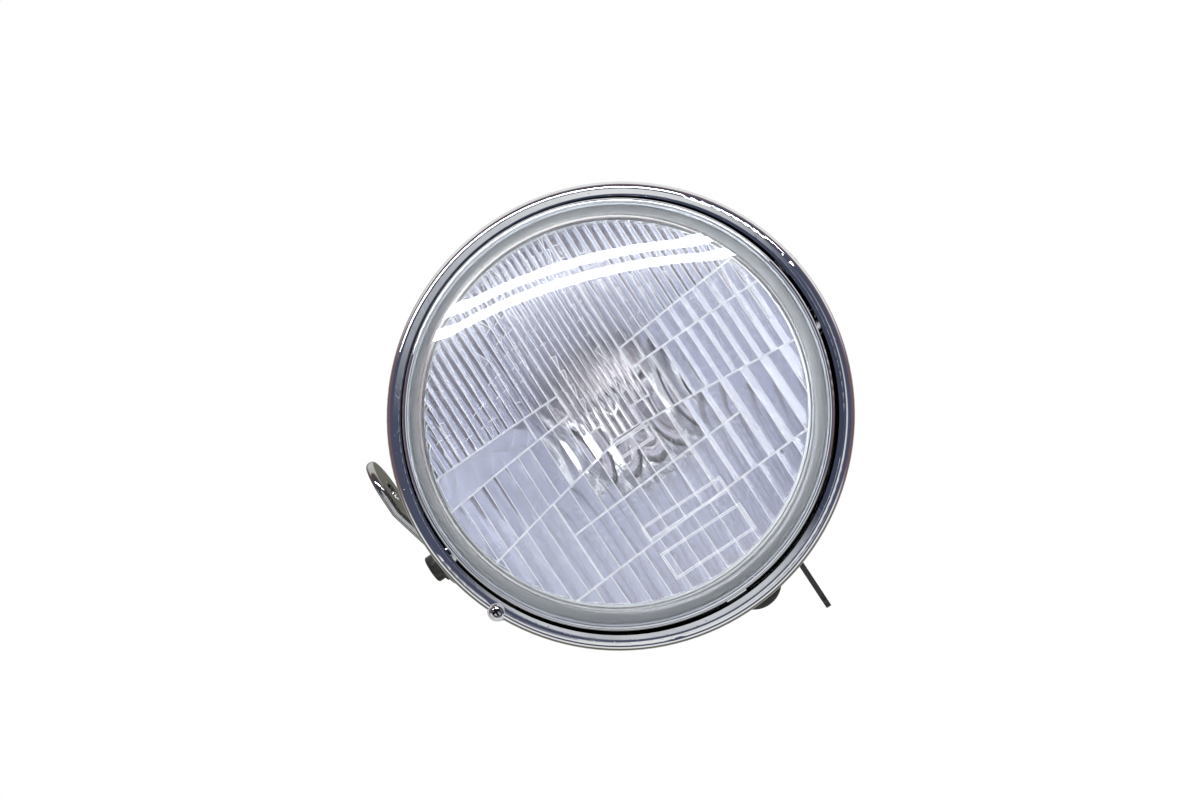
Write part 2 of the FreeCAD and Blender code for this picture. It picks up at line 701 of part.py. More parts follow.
def lens_blocks():
    edge = flute_area_r
    g = block_gap
    mid = column_half
    core = column_core
    pane = left_pane_x
    left_x, right_x = panel_x
    pane_z = slope(left_mid_z, pane, -edge, -mid)

    def bottom_line(x):
        return slope(bottom_z, x, -edge, edge)

    def left_line(x):
        return slope(left_low_z, x, -edge, -core)

    def right_line(x):
        return slope(right_low_z, x, core, edge)

    return [
        ([(-edge, left_top_z), (-mid - g, left_top_z), (-mid - g, edge), (-edge, edge)], fine_pitch, flute_bump),
        ([(-mid, column_step_z), (-core, column_step_z), (-core, column_foot_z + g), (core, column_foot_z + g),
          (core, column_step_z), (mid, column_step_z), (mid, edge), (-mid, edge)], column_pitch, flute_bump),
        ([(mid + g, right_top_z[0]), (edge, right_top_z[1]), (edge, edge), (mid + g, edge)], fine_pitch, flute_bump),
        ([(-edge, left_mid_z[0] + g), (pane, pane_z + g), (pane, left_top_z - g), (-edge, left_top_z - g)],
         edge + pane, flute_bump),
        ([(pane + g, pane_z + g), (-mid - g, left_mid_z[1] + g), (-mid - g, left_top_z - g),
          (pane + g, left_top_z - g)], block_pitch, flute_bump),
        ([(-edge, left_low_z[0]), (-core - g, left_low_z[1]), (-core - g, column_step_z - g),
          (-mid - g, column_step_z - g), (-mid - g, left_mid_z[1]), (-edge, left_mid_z[0])], block_pitch, flute_bump),
        ([(mid + g, right_mid_z[0] + g), (edge, right_mid_z[1] + g), (edge, right_top_z[1] - g),
          (mid + g, right_top_z[0] - g)], block_pitch, flute_bump),
        ([(core + g, right_low_z[0]), (edge, right_low_z[1]), (edge, right_mid_z[1]), (mid + g, right_mid_z[0]),
          (mid + g, column_step_z - g), (core + g, column_step_z - g)], block_pitch, flute_bump),
        ([(-edge, bottom_z[0] + g), (left_x - g, bottom_line(left_x) + g), (left_x - g, left_line(left_x) - g),
          (-edge, left_low_z[0] - g)], broad_pitch, broad_bump),
        ([(left_x, panel_z[0] + g), (right_x, panel_z[1] + g), (right_x, right_line(right_x) - g),
          (core, right_low_z[0] - g), (-core, left_low_z[1] - g), (left_x, left_line(left_x) - g)],
         broad_pitch, broad_bump),
        ([(right_x + g, bottom_line(right_x) + g), (edge, bottom_z[1] + g), (edge, right_low_z[1] - g),
          (right_x + g, right_line(right_x) - g)], broad_pitch, broad_bump),
        ([(left_x, bottom_line(left_x) + g), (right_x, bottom_line(right_x) + g), (right_x, panel_z[1]),
          (left_x, panel_z[0])], broad_pitch, broad_bump),
        ([(-edge, -edge), (edge, -edge), (edge, bottom_z[1]), (-edge, bottom_z[0])], broad_pitch, broad_bump),
    ]


def label_frames():
    ball = Part.makeSphere(dome_r + frame_h, V(0, dome_y, 0))
    core = Part.makeSphere(dome_r - frame_w, V(0, dome_y, 0))
    frames = []
    near = fwd(dome_top + glass_t)
    far = fwd(dome_edge - glass_t)
    for x0, x1, z0, z1 in raised_frames:
        outer = box(x0, x1, near, far, z0, z1)
        inner = box(x0 + frame_w, x1 - frame_w, near, far, z0 + frame_w, z1 - frame_w)
        frames.append(outer.cut(inner).common(ball).cut(core))
    return frames


def make_lens():
    disc = along_y(flute_area_r, 0, 0, fwd(dome_top), fwd(0))
    body = lens_blank()
    pieces = [flute_block(corners, pitch, bump, disc) for corners, pitch, bump in lens_blocks()]
    body = body.fuse(pieces + label_frames())
    return body


def make_lens_seal():
    return tube(glass_r, skirt_r - glass_t, fwd(flange_back - contact), fwd(mirror_front + contact))


def make_reflector():
    steps = 8
    face_pts = []
    back_pts = []
    for k in range(steps + 1):
        r = neck_r + (mirror_mouth_r - neck_r) * k / steps
        ahead = mirror_vertex + r ** 2 / (4 * focal)
        lean = math.atan(r / (2 * focal))
        face_pts.append((r, fwd(ahead)))
        back_pts.append((r + mirror_t * math.sin(lean), fwd(ahead - mirror_t * math.cos(lean))))
    front = fwd(mirror_front)
    back = fwd(mirror_front - mirror_t)
    face_pts[-1] = (mirror_mouth_r, front)
    seat = fwd(bulb_seat)
    rim_back = (back_pts[-1][0], back)
    neck_out = neck_r + mirror_t
    collar = (neck_out, back_pts[0][1] + mirror_t)
    back_run = [rim_back] + [p for p in reversed(back_pts[1:-1])] + [collar]
    return turned(
        face_pts,
        [(mirror_mouth_r, front), (glass_r, front)],
        [(glass_r, front), (glass_r, back)],
        [(glass_r, back), rim_back],
        back_run,
        [collar, (neck_out, seat - mirror_t)],
        [(neck_out, seat - mirror_t), (seat_r, seat - mirror_t)],
        [(seat_r, seat - mirror_t), (seat_r, seat)],
        [(seat_r, seat), (neck_r, seat)],
        [(neck_r, seat), face_pts[0]])


def make_bulb_base():
    seat = fwd(bulb_seat - contact)
    back = seat + bulb_flange_t
    cup = fwd(bulb_seat + bulb_cup_l)
    glass = bulb_glass_r + contact
    return turned_steps([
        (0, back + bulb_plug_l),
        (bulb_plug_r, back + bulb_plug_l),
        (bulb_plug_r, back),
        (bulb_flange_r, back),
        (bulb_flange_r, seat),
        (bulb_cup_r, seat),
        (bulb_cup_r, cup),
        (glass, cup),
        (glass, seat),
        (0, seat)])


def make_bulb_glass():
    foot = fwd(bulb_seat)
    tip = fwd(bulb_seat + bulb_tip_ahead)
    r = bulb_glass_r
    inner = r - bulb_glass_t
    shoulder = tip + r
    diag = r * math.sqrt(0.5)
    diag_in = inner * math.sqrt(0.5)
    return turned(
        [(inner, foot), (r, foot)],
        [(r, foot), (r, shoulder)],
        [(r, shoulder), (diag, shoulder - diag), (0, tip)],
        [(0, tip), (0, tip + bulb_glass_t)],
        [(0, tip + bulb_glass_t), (diag_in, shoulder - diag_in), (inner, shoulder)],
        [(inner, shoulder), (inner, foot)])


def make_bulb_shield():
    focus = mirror_focus
    cup = along_y(shield_r, 0, 0, fwd(focus), fwd(focus + shield_l))
    cup = cup.cut(along_y(shield_r - shield_t, 0, 0, fwd(focus + shield_t), fwd(focus + shield_l)))
    cup = cup.cut(box(-shield_r, shield_r, fwd(focus), fwd(focus + shield_l), 0, shield_r))
    stem_z = -(shield_r - shield_t / 2)
    stem = along_y(shield_t / 2, 0, stem_z, fwd(bulb_seat), fwd(focus + shield_t))
    return cup.fuse(stem).removeSplitter()


def make_bulb_filaments():
    focus = mirror_focus
    coils = []
    for ahead, z in ((focus - filament_l, 0), (focus + shield_l / 2, filament_r)):
        coil = along_y(filament_r, 0, z, fwd(ahead - filament_l / 2), fwd(ahead + filament_l / 2))
        for end in (-1, 1):
            y = fwd(ahead + end * (filament_l / 2 - filament_r))
            leg = rod(filament_r / 2, V(0, y, z), V(end, 0, 0), shield_r)
            post = along_y(post_r, end * shield_r, z, fwd(bulb_seat), y - post_r)
            coil = coil.fuse(leg).fuse(post)
        coils.append(coil.removeSplitter())
    return Part.makeCompound(coils)


def make_bulb_terminals():
    back = fwd(bulb_seat - contact) + bulb_flange_t + bulb_plug_l
    w = blade_w / 2
    t = blade_t / 2
    off = bulb_plug_r * blade_share
    y0 = back + contact
    y1 = y0 + blade_l
    blades = [box(-w, w, y0, y1, off - t, off + t)]
    for side in (-1, 1):
        blades.append(box(side * off - t, side * off + t, y0, y1, -w, w))
    return Part.makeCompound(blades)


def make_bulb_clip():
    y = fwd(bulb_seat - contact) + bulb_flange_t + contact + clip_wire
    top = math.sqrt((seat_r - boot_t - 2 * clip_wire) ** 2 - clip_r ** 2)
    left = V(-clip_r, y, 0)
    right = V(clip_r, y, 0)
    path = Part.Wire([
        Part.LineSegment(left + V(0, 0, top), left).toShape(),
        Part.Arc(left, V(0, y, -clip_r), right).toShape(),
        Part.LineSegment(right, right + V(0, 0, top)).toShape()])
    section = Part.Wire([Part.makeCircle(clip_wire, left + V(0, 0, top), V(0, 0, 1))])
    return path.makePipeShell([section], True, False)


def make_dust_boot():
    seat = fwd(bulb_seat)
    lip = seat - mirror_t - contact
    grip = seat_r - boot_t
    wall = seat_r + contact
    outer = wall + boot_t
    hole = bulb_plug_r + contact
    back = seat + boot_l
    return turned_steps([
        (grip, lip),
        (grip, lip - boot_t),
        (outer, lip - boot_t),
        (outer, seat + boot_t),
        (hole + 2 * boot_t, back),
        (hole, back),
        (hole, back - 2 * boot_t),
        (hole + boot_t, back - 2 * boot_t),
        (wall, seat + boot_t),
        (wall, lip)])


makers = {
    "shell": make_shell,
    "rim": make_rim,
    "rim_screws": make_rim_screws,
    "rim_nuts": make_rim_nuts,
    "side_lug": make_side_lug,
    "lug_bolt": make_lug_bolt,
    "aim_tab": make_aim_tab,
    "tab_rivets": make_tab_rivets,
    "drain_plug": make_drain_plug,
    "wire_grommet": make_wire_grommet,
    "pivot_brackets": make_pivot_brackets,
    "pivot_pins": make_pivot_pins,
    "unit_ring": make_unit_ring,
    "adjuster_screw": make_adjuster_screw,
    "adjuster_nut": make_adjuster_nut,
    "adjuster_spring": make_adjuster_spring,
    "lens": make_lens,
    "lens_seal": make_lens_seal,
    "reflector": make_reflector,
    "bulb_base": make_bulb_base,
    "bulb_glass": make_bulb_glass,
    "bulb_shield": make_bulb_shield,
    "bulb_filaments": make_bulb_filaments,
    "bulb_terminals": make_bulb_terminals,
    "bulb_clip": make_bulb_clip,
    "dust_boot": make_dust_boot,
}

os.makedirs("parts", exist_ok=True)
for node, make in makers.items():
    shape = make()
    solids = len(shape.Solids)
    print(node, "solids", solids, "valid", shape.isValid(), "volume", round(shape.Volume / 1000, 2), "cm3")
    shape.exportStep("parts/" + node + ".step")
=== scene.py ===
import math

import bmesh
import bpy
from mathutils import Matrix, Vector


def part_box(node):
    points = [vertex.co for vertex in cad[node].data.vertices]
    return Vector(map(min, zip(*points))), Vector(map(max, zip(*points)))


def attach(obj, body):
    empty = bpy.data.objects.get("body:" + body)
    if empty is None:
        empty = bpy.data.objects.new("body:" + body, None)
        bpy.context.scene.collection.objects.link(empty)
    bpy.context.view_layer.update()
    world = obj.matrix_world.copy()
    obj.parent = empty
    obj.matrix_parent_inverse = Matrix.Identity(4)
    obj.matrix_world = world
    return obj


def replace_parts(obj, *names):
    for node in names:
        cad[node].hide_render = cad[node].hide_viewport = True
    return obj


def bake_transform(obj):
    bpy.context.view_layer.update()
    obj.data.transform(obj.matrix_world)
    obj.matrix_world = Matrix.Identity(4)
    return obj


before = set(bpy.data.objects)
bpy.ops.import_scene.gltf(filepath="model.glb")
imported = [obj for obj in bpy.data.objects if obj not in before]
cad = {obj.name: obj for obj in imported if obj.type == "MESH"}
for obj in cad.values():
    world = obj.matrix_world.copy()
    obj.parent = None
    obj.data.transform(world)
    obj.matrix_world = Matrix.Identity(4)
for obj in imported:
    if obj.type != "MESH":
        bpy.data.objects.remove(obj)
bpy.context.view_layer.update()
print("frame loaded:", len(cad), "nodes")


# small helpers for node trees

def addNode(tree, kind, x, y, **settings):
    node = tree.nodes.new(kind)
    node.location = (x, y)
    for name, value in settings.items():
        setattr(node, name, value)
    return node


def setInputs(node, **values):
    for name, value in values.items():
        node.inputs[name.replace("_", " ")].default_value = value
    return node


def startGroup(name, inputs, outputs):
    tree = bpy.data.node_groups.new(name, "ShaderNodeTree")
    for label, kind, value in inputs:
        socket = tree.interface.new_socket(name=label, in_out="INPUT", socket_type=kind)
        socket.default_value = value
    for label, kind in outputs:
        tree.interface.new_socket(name=label, in_out="OUTPUT", socket_type=kind)
    return tree, addNode(tree, "NodeGroupInput", -1000, 0), addNode(tree, "NodeGroupOutput", 700, 0)


def startMaterial(name):
    mat = bpy.data.materials.new(name)
    mat.use_nodes = True
    tree = mat.node_tree
    tree.nodes.clear()
    out = addNode(tree, "ShaderNodeOutputMaterial", 900, 0)
    bsdf = addNode(tree, "ShaderNodeBsdfPrincipled", 600, 0)
    tree.links.new(bsdf.outputs["BSDF"], out.inputs["Surface"])
    return mat, tree, bsdf


def useGroup(tree, group, x, y, **values):
    node = addNode(tree, "ShaderNodeGroup", x, y, node_tree=group)
    return setInputs(node, **values)


def mixColors(tree, x, y, first, second, blend="MIX"):
    node = addNode(tree, "ShaderNodeMix", x, y, data_type="RGBA", blend_type=blend)
    if first is not None:
        node.inputs[6].default_value = first
    if second is not None:
        node.inputs[7].default_value = second
    return node


def remap(tree, x, y, low, high, newLow, newHigh):
    node = addNode(tree, "ShaderNodeMapRange", x, y, interpolation_type="SMOOTHSTEP")
    return setInputs(node, From_Min=low, From_Max=high, To_Min=newLow, To_Max=newHigh)


# effects that several finishes share

smudgeLook = {"cloudDetail": 5.0, "cloudRough": 0.6, "swirl": 0.4, "cloudEdge": (0.42, 0.68),
              "hairScale": 900.0, "hairDetail": 2.0, "hairStretch": (1.0, 0.06, 0.25),
              "hairTurn": (0.3, 0.2, 0.5), "hairEdge": (0.62, 0.74)}


def makeSmudgeGroup(look):  # cloudy wipe marks and fine hairlines on bright metal and glass
    tree, gin, gout = startGroup(
        "smudges",
        [("Scale", "NodeSocketFloat", 40.0), ("Low", "NodeSocketFloat", 0.03),
         ("High", "NodeSocketFloat", 0.12)],
        [("Mask", "NodeSocketFloat"), ("Roughness", "NodeSocketFloat"), ("Height", "NodeSocketFloat")])
    link = tree.links.new
    coord = addNode(tree, "ShaderNodeTexCoord", -1000, -250)
    cloud = setInputs(addNode(tree, "ShaderNodeTexNoise", -750, 100), Detail=look["cloudDetail"],
                      Roughness=look["cloudRough"], Distortion=look["swirl"])
    hair = setInputs(addNode(tree, "ShaderNodeTexNoise", -550, -250), Scale=look["hairScale"],
                     Detail=look["hairDetail"])
    stretch = addNode(tree, "ShaderNodeMapping", -780, -250)
    stretch.inputs["Scale"].default_value = look["hairStretch"]
    stretch.inputs["Rotation"].default_value = look["hairTurn"]
    link(coord.outputs["Object"], cloud.inputs["Vector"])
    link(gin.outputs["Scale"], cloud.inputs["Scale"])
    link(coord.outputs["Object"], stretch.inputs["Vector"])
    link(stretch.outputs["Vector"], hair.inputs["Vector"])
    soft = remap(tree, -500, 100, *look["cloudEdge"], 0.0, 1.0)
    link(cloud.outputs["Fac"], soft.inputs["Value"])
    line = remap(tree, -350, -250, *look["hairEdge"], 0.0, 1.0)
    link(hair.outputs["Fac"], line.inputs["Value"])
    spread = addNode(tree, "ShaderNodeMapRange", 200, 0)
    link(soft.outputs["Result"], spread.inputs["Value"])
    link(gin.outputs["Low"], spread.inputs["To Min"])
    link(gin.outputs["High"], spread.inputs["To Max"])
    link(soft.outputs["Result"], gout.inputs["Mask"])
    link(spread.outputs["Result"], gout.inputs["Roughness"])
    link(line.outputs["Result"], gout.inputs["Height"])
    return tree


def makeSpeckGroup():  # dust, bubbles and pin-sized pits
    tree, gin, gout = startGroup(
        "specks",
        [("Scale", "NodeSocketFloat", 300.0), ("Size", "NodeSocketFloat", 0.12),
         ("Share", "NodeSocketFloat", 0.2)],
        [("Mask", "NodeSocketFloat"), ("Height", "NodeSocketFloat")])
    link = tree.links.new
    coord = addNode(tree, "ShaderNodeTexCoord", -1000, -250)
    cells = setInputs(addNode(tree, "ShaderNodeTexVoronoi", -750, 0), Randomness=1.0)
    link(coord.outputs["Object"], cells.inputs["Vector"])
    link(gin.outputs["Scale"], cells.inputs["Scale"])
    near = addNode(tree, "ShaderNodeMath", -500, 100, operation="LESS_THAN")
    link(cells.outputs["Distance"], near.inputs[0])
    link(gin.outputs["Size"], near.inputs[1])
    split = addNode(tree, "ShaderNodeSeparateColor", -500, -100)
    link(cells.outputs["Color"], split.inputs["Color"])
    chosen = addNode(tree, "ShaderNodeMath", -300, -100, operation="LESS_THAN")
    link(split.outputs["Red"], chosen.inputs[0])
    link(gin.outputs["Share"], chosen.inputs[1])
    both = addNode(tree, "ShaderNodeMath", -100, 0, operation="MULTIPLY")
    link(near.outputs[0], both.inputs[0])
    link(chosen.outputs[0], both.inputs[1])
    sink = addNode(tree, "ShaderNodeMath", 100, -100, operation="MULTIPLY")
    sink.inputs[1].default_value = -1.0
    link(both.outputs[0], sink.inputs[0])
    link(both.outputs[0], gout.inputs["Mask"])
    link(sink.outputs[0], gout.inputs["Height"])
    return tree


grainLook = {"detail": 6.0, "rough": 0.65, "patchScale": 70.0, "patchDetail": 4.0, "dustEdge": (0.45, 0.75)}


def makeGrainGroup(look):  # fine leathery grain for rubber, paint and moulded parts
    tree, gin, gout = startGroup(
        "fineGrain",
        [("Scale", "NodeSocketFloat", 900.0), ("Low", "NodeSocketFloat", 0.5),
         ("High", "NodeSocketFloat", 0.7)],
        [("Mask", "NodeSocketFloat"), ("Roughness", "NodeSocketFloat"), ("Height", "NodeSocketFloat")])
    link = tree.links.new
    coord = addNode(tree, "ShaderNodeTexCoord", -1000, -250)
    grain = setInputs(addNode(tree, "ShaderNodeTexNoise", -700, 100), Detail=look["detail"],
                      Roughness=look["rough"])
    patch = setInputs(addNode(tree, "ShaderNodeTexNoise", -700, -200), Scale=look["patchScale"],
                      Detail=look["patchDetail"])
    link(coord.outputs["Object"], grain.inputs["Vector"])
    link(coord.outputs["Object"], patch.inputs["Vector"])
    link(gin.outputs["Scale"], grain.inputs["Scale"])
    dust = remap(tree, -400, -200, *look["dustEdge"], 0.0, 1.0)
    link(patch.outputs["Fac"], dust.inputs["Value"])
    spread = addNode(tree, "ShaderNodeMapRange", 100, 0)
    link(patch.outputs["Fac"], spread.inputs["Value"])
    link(gin.outputs["Low"], spread.inputs["To Min"])
    link(gin.outputs["High"], spread.inputs["To Max"])
    link(dust.outputs["Result"], gout.inputs["Mask"])
    link(spread.outputs["Result"], gout.inputs["Roughness"])
    link(grain.outputs["Fac"], gout.inputs["Height"])
    return tree


def makeOffAxisGroup():  # how far a point lies from a centre, or from an axis where one weight is nought
    tree, gin, gout = startGroup(
        "offAxis",
        [("Centre", "NodeSocketVector", (0.0, 0.0, 0.0)), ("Weights", "NodeSocketVector", (1.0, 0.0, 1.0)),
         ("Start", "NodeSocketFloat", 0.08), ("End", "NodeSocketFloat", 0.09)],
        [("Mask", "NodeSocketFloat")])
    link = tree.links.new
    coord = addNode(tree, "ShaderNodeTexCoord", -1000, -250)
    shift = addNode(tree, "ShaderNodeVectorMath", -750, 0, operation="SUBTRACT")
    link(coord.outputs["Object"], shift.inputs[0])
    link(gin.outputs["Centre"], shift.inputs[1])
    flat = addNode(tree, "ShaderNodeVectorMath", -550, 0, operation="MULTIPLY")
    link(shift.outputs["Vector"], flat.inputs[0])
    link(gin.outputs["Weights"], flat.inputs[1])
    reach = addNode(tree, "ShaderNodeVectorMath", -350, 0, operation="LENGTH")
    link(flat.outputs["Vector"], reach.inputs[0])
    spread = addNode(tree, "ShaderNodeMapRange", -100, 0, interpolation_type="SMOOTHSTEP")
    link(reach.outputs["Value"], spread.inputs["Value"])
    link(gin.outputs["Start"], spread.inputs["From Min"])
    link(gin.outputs["End"], spread.inputs["From Max"])
    link(spread.outputs["Result"], gout.inputs["Mask"])
    return tree


def makeFacingGroup():  # faces that look along a direction
    tree, gin, gout = startGroup(
        "facing",
        [("Direction", "NodeSocketVector", (1.0, 0.0, 0.0)), ("Start", "NodeSocketFloat", 0.7),
         ("End", "NodeSocketFloat", 0.95)],
        [("Mask", "NodeSocketFloat")])
    link = tree.links.new
    coord = addNode(tree, "ShaderNodeTexCoord", -1000, -250)
    along = addNode(tree, "ShaderNodeVectorMath", -600, 0, operation="DOT_PRODUCT")
    link(coord.outputs["Normal"], along.inputs[0])
    link(gin.outputs["Direction"], along.inputs[1])
    spread = addNode(tree, "ShaderNodeMapRange", -100, 0, interpolation_type="SMOOTHSTEP")
    link(along.outputs["Value"], spread.inputs["Value"])
    link(gin.outputs["Start"], spread.inputs["From Min"])
    link(gin.outputs["End"], spread.inputs["From Max"])
    link(spread.outputs["Result"], gout.inputs["Mask"])
    return tree


smudges = makeSmudgeGroup(smudgeLook)
offAxis = makeOffAxisGroup()
facing = makeFacingGroup()
specks = makeSpeckGroup()
fineGrain = makeGrainGroup(grainLook)
print("shared effects made")


# finishes

metalRelief = {"hairDepth": 0.0002, "pits": 0.25, "pitDepth": 0.0003}
skinRelief = {"speckSize": 0.16, "grainDepth": 0.0004}


def brightMetal(name, look):
    mat, tree, bsdf = startMaterial(name)
    link = tree.links.new
    wipe = useGroup(tree, smudges, -500, 150, Scale=look["smudgeScale"], Low=look["rough"][0],
                    High=look["rough"][1])
    pits = useGroup(tree, specks, -500, -150, Scale=look["pitScale"], Size=look["pitSize"],
                    Share=look["pitShare"])
    haze = mixColors(tree, -200, 200, look["color"], look["hazeColor"])
    spot = mixColors(tree, 50, 200, None, look["pitColor"])
    link(wipe.outputs["Mask"], haze.inputs[0])
    link(haze.outputs[2], spot.inputs[6])
    link(pits.outputs["Mask"], spot.inputs[0])
    color, rough = spot.outputs[2], wipe.outputs["Roughness"]
    # painted shade: where the mask is set, the metal's colour is darkened and its roughness replaced
    if "paintedShade" in look:
        part = look["paintedShade"]
        where = useGroup(tree, part["group"], 50, 450, **part["place"])
        paintedShadeColor = mixColors(tree, 300, 400, None, part["color"])
        link(color, paintedShadeColor.inputs[6])
        link(where.outputs["Mask"], paintedShadeColor.inputs[0])
        paintedShadeRough = addNode(tree, "ShaderNodeMix", 300, 150)
        link(rough, paintedShadeRough.inputs["A"])
        paintedShadeRough.inputs["B"].default_value = part["rough"]
        link(where.outputs["Mask"], paintedShadeRough.inputs["Factor"])
        color, rough = paintedShadeColor.outputs[2], paintedShadeRough.outputs["Result"]
    link(color, bsdf.inputs["Base Color"])
    link(rough, bsdf.inputs["Roughness"])
    hairs = setInputs(addNode(tree, "ShaderNodeBump", 50, -250), Strength=look["hairline"],
                      Distance=metalRelief["hairDepth"])
    dents = setInputs(addNode(tree, "ShaderNodeBump", 300, -250), Strength=metalRelief["pits"],
                      Distance=metalRelief["pitDepth"])
    link(wipe.outputs["Height"], hairs.inputs["Height"])
    link(pits.outputs["Height"], dents.inputs["Height"])
    link(hairs.outputs["Normal"], dents.inputs["Normal"])
    link(dents.outputs["Normal"], bsdf.inputs["Normal"])
    bsdf.inputs["Metallic"].default_value = 1.0
    return mat


def darkSkin(name, look):
    mat, tree, bsdf = startMaterial(name)
    link = tree.links.new
    skin = useGroup(tree, fineGrain, -500, 150, Scale=look["grainScale"], Low=look["rough"][0],
                    High=look["rough"][1])
    dust = useGroup(tree, specks, -500, -150, Scale=look["speckScale"], Size=skinRelief["speckSize"],
                    Share=look["speckShare"])
    tone = mixColors(tree, -200, 200, look["color"], look["dustColor"])
    flake = mixColors(tree, 50, 200, None, look["speckColor"])
    link(skin.outputs["Mask"], tone.inputs[0])
    link(tone.outputs[2], flake.inputs[6])
    link(dust.outputs["Mask"], flake.inputs[0])
    link(flake.outputs[2], bsdf.inputs["Base Color"])
    link(skin.outputs["Roughness"], bsdf.inputs["Roughness"])
    bump = setInputs(addNode(tree, "ShaderNodeBump", 300, -250), Strength=look["grain"],
                     Distance=skinRelief["grainDepth"])
    link(skin.outputs["Height"], bump.inputs["Height"])
    link(bump.outputs["Normal"], bsdf.inputs["Normal"])
    bsdf.inputs["Metallic"].default_value = look.get("metallic", 0.0)
    bsdf.inputs["Specular IOR Level"].default_value = look.get("specular", 0.5)
    return mat


metalLooks = {
    "chromeShell": {"color": (0.72, 0.73, 0.75, 1), "hazeColor": (0.66, 0.67, 0.68, 1),
                    "pitColor": (0.30, 0.27, 0.24, 1),
                    "smudgeScale": 22.0, "rough": (0.035, 0.11), "pitScale": 420.0, "pitSize": 0.10,
                    "pitShare": 0.05, "hairline": 0.05},
    "chromeRim": {"color": (0.74, 0.75, 0.77, 1), "hazeColor": (0.68, 0.69, 0.70, 1),
                  "pitColor": (0.26, 0.24, 0.24, 1),
                  "smudgeScale": 34.0, "rough": (0.025, 0.09), "pitScale": 520.0, "pitSize": 0.12,
                  "pitShare": 0.06, "hairline": 0.05},
    "chromeRing": {"color": (0.74, 0.76, 0.79, 1), "hazeColor": (0.66, 0.68, 0.71, 1),
                   "pitColor": (0.34, 0.30, 0.27, 1),
                   "smudgeScale": 30.0, "rough": (0.03, 0.10), "pitScale": 480.0, "pitSize": 0.10,
                   "pitShare": 0.04, "hairline": 0.05,
                   # painted shade: the ring's outer wall, past 86 mm from the axis, is near black where it
                   # goes back into the dark gap behind the rim
                   "paintedShade": {"group": offAxis, "place": {"Start": 0.0860, "End": 0.0864},
                            "color": (0.03, 0.03, 0.03, 1), "rough": 0.5}},
    # the lug's chrome is darker than the other chrome: painted shade
    "shadedChromeLug": {"color": (0.44, 0.45, 0.44, 1), "hazeColor": (0.34, 0.34, 0.31, 1),
                  "pitColor": (0.20, 0.18, 0.13, 1),
                  "smudgeScale": 60.0, "rough": (0.05, 0.16), "pitScale": 420.0, "pitSize": 0.15,
                  "pitShare": 0.12, "hairline": 0.08,
                  # painted shade and reflection: the faces turned towards +x, the lug's inner face, are dark
                  # olive
                  "paintedShade": {"group": facing, "place": {"Start": 0.75, "End": 0.97},
                           "color": (0.16, 0.16, 0.115, 1), "rough": 0.36}},
    "platedScrews": {"color": (0.70, 0.69, 0.69, 1), "hazeColor": (0.55, 0.52, 0.51, 1),
                     "pitColor": (0.20, 0.15, 0.14, 1),
                     "smudgeScale": 260.0, "rough": (0.08, 0.24), "pitScale": 1400.0, "pitSize": 0.16,
                     "pitShare": 0.10, "hairline": 0.1},
    "zincSteel": {"color": (0.60, 0.60, 0.58, 1), "hazeColor": (0.46, 0.46, 0.45, 1),
                  "pitColor": (0.25, 0.22, 0.19, 1),
                  "smudgeScale": 120.0, "rough": (0.28, 0.46), "pitScale": 900.0, "pitSize": 0.14,
                  "pitShare": 0.10, "hairline": 0.15},
    "springSteel": {"color": (0.50, 0.50, 0.51, 1), "hazeColor": (0.38, 0.37, 0.36, 1),
                    "pitColor": (0.20, 0.15, 0.12, 1),
                    "smudgeScale": 150.0, "rough": (0.20, 0.36), "pitScale": 1200.0, "pitSize": 0.12,
                    "pitShare": 0.08, "hairline": 0.1},
    "mirrorCoat": {"color": (0.96, 0.965, 0.985, 1), "hazeColor": (0.93, 0.935, 0.96, 1),
                   "pitColor": (0.60, 0.57, 0.56, 1),
                   "smudgeScale": 18.0, "rough": (0.03, 0.10), "pitScale": 260.0, "pitSize": 0.09,
                   "pitShare": 0.10, "hairline": 0.0},
    "platedBase": {"color": (0.92, 0.88, 0.89, 1), "hazeColor": (0.86, 0.80, 0.81, 1),
                   "pitColor": (0.22, 0.18, 0.14, 1),
                   "smudgeScale": 90.0, "rough": (0.18, 0.34), "pitScale": 900.0, "pitSize": 0.12,
                   "pitShare": 0.06, "hairline": 0.1},
    "brassBlades": {"color": (0.72, 0.56, 0.30, 1), "hazeColor": (0.52, 0.38, 0.19, 1),
                    "pitColor": (0.25, 0.16, 0.08, 1),
                    "smudgeScale": 140.0, "rough": (0.2, 0.4), "pitScale": 900.0, "pitSize": 0.13,
                    "pitShare": 0.08, "hairline": 0.2},
    "filamentWire": {"color": (0.66, 0.64, 0.65, 1), "hazeColor": (0.52, 0.50, 0.52, 1),
                     "pitColor": (0.16, 0.15, 0.15, 1),
                     "smudgeScale": 300.0, "rough": (0.25, 0.4), "pitScale": 1800.0, "pitSize": 0.12,
                     "pitShare": 0.08, "hairline": 0.0},
}
